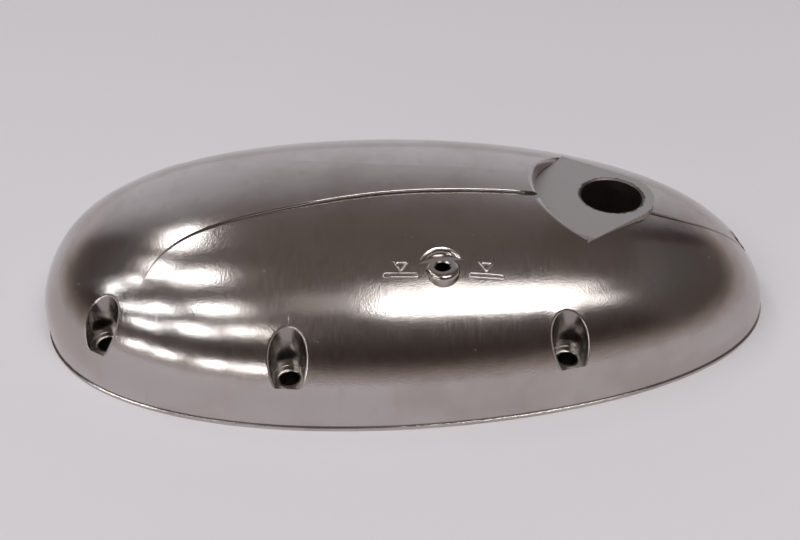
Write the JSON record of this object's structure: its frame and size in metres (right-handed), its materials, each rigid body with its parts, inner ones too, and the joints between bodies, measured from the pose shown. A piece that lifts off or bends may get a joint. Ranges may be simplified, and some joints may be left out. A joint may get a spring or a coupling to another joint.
{
  "type": "engine side cover",
  "caption": "Egg-shaped domed side cover of a small engine, cast hollow in polished aluminium, with a flat joint face, screw pockets, a hub bore and a level hole.",
  "frame": {"origin": "middle of the joint face, on the plane that it rests on", "axes": "+Z out of the engine through the dome, +X to the narrow rear end, -X to the broad nose"},
  "size_m": [0.272, 0.144, 0.0526],
  "materials": {
    "polished_casting": "polished casting with fine brush marks"
  },
  "bodies": {
    "root": {"cover_casting": "polished_casting"}
  },
  "joints": []
}
